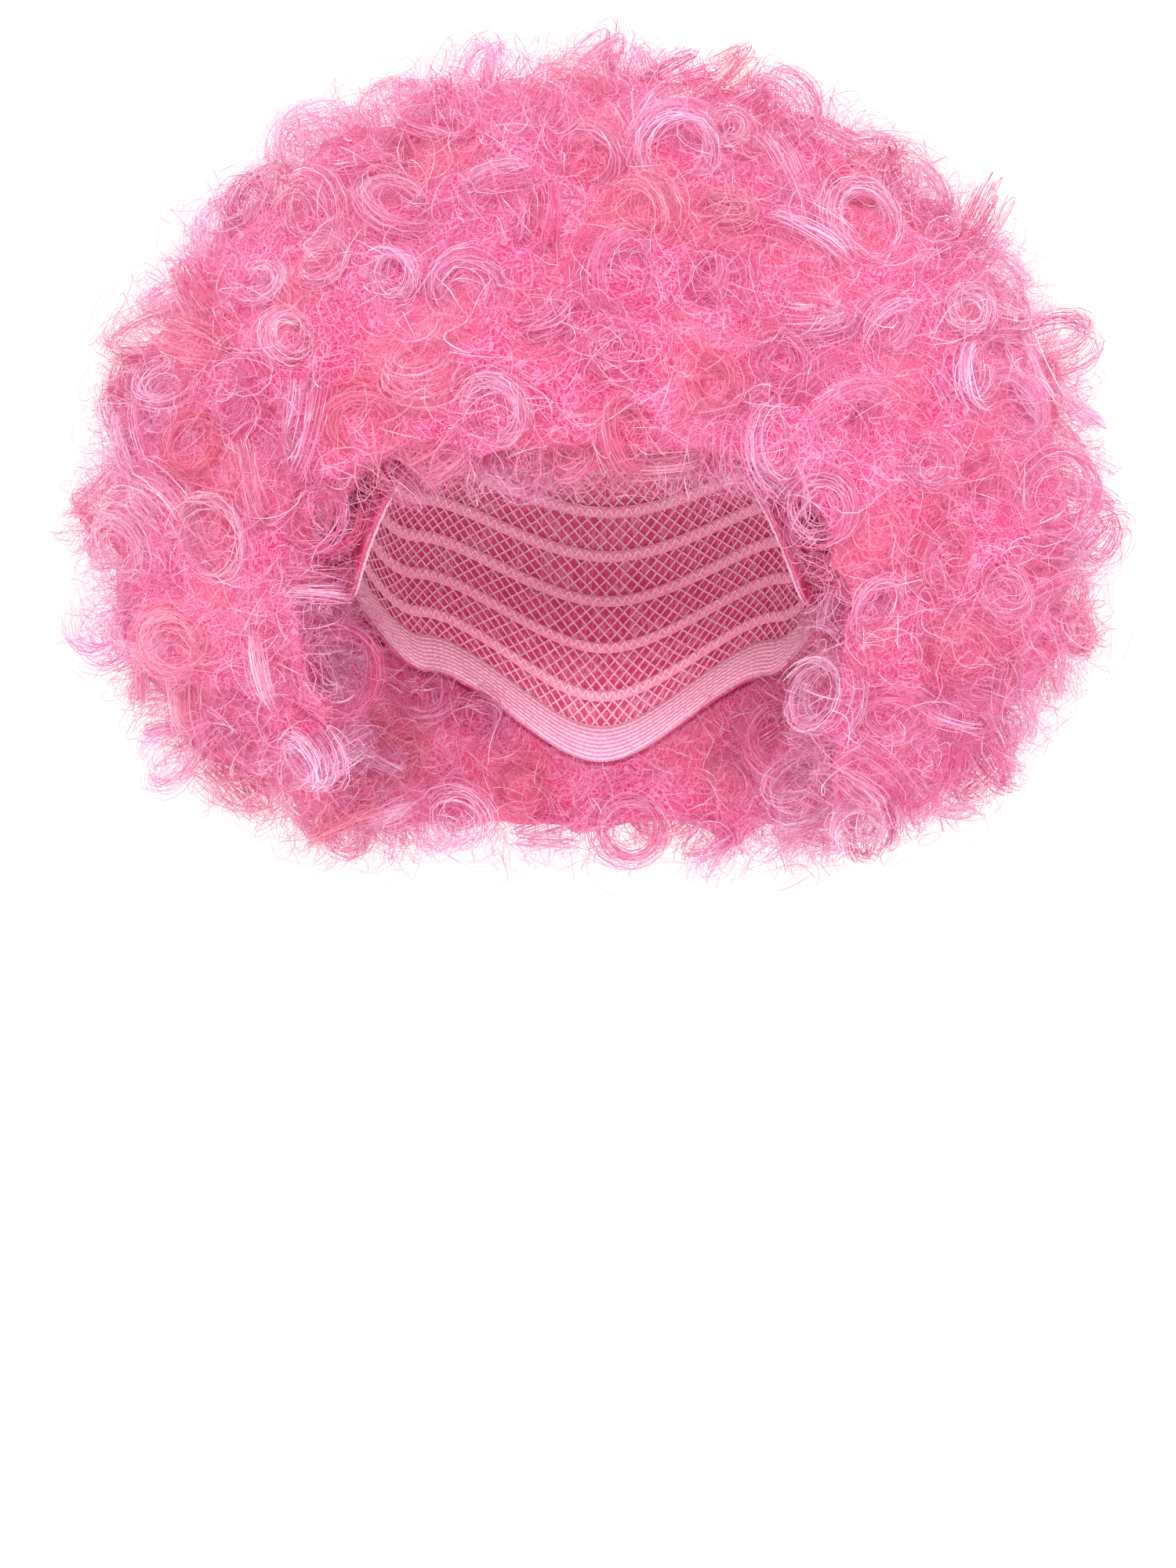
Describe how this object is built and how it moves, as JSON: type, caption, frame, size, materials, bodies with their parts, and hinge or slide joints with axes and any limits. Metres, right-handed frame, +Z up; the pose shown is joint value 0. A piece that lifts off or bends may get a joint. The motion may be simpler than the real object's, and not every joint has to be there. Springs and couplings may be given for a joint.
{
  "type": "curly afro clown wig",
  "caption": "Wide afro wig of tight pink ringlets in sewn sections on a stretch net cap with an elastic hem, open at the face and below for the head.",
  "frame": {"origin": "top of the wearer's head, on the inner face of the cap", "axes": "+Z up, -Y the way the face looks, +X to the wearer's left"},
  "size_m": [0.3189, 0.2921, 0.2555],
  "materials": {
    "curly_fibre": "silky synthetic fibre in tight curls",
    "cap_net": "matt stretch net",
    "elastic": "matt ribbed elastic"
  },
  "bodies": {
    "root": {"net_cap": "cap_net", "hem_elastic": "elastic", "hair_crown": "curly_fibre", "hair_fringe": "curly_fibre", "hair_side_left": "curly_fibre", "hair_side_right": "curly_fibre", "hair_back": "curly_fibre", "hair_nape": "curly_fibre"}
  },
  "joints": []
}
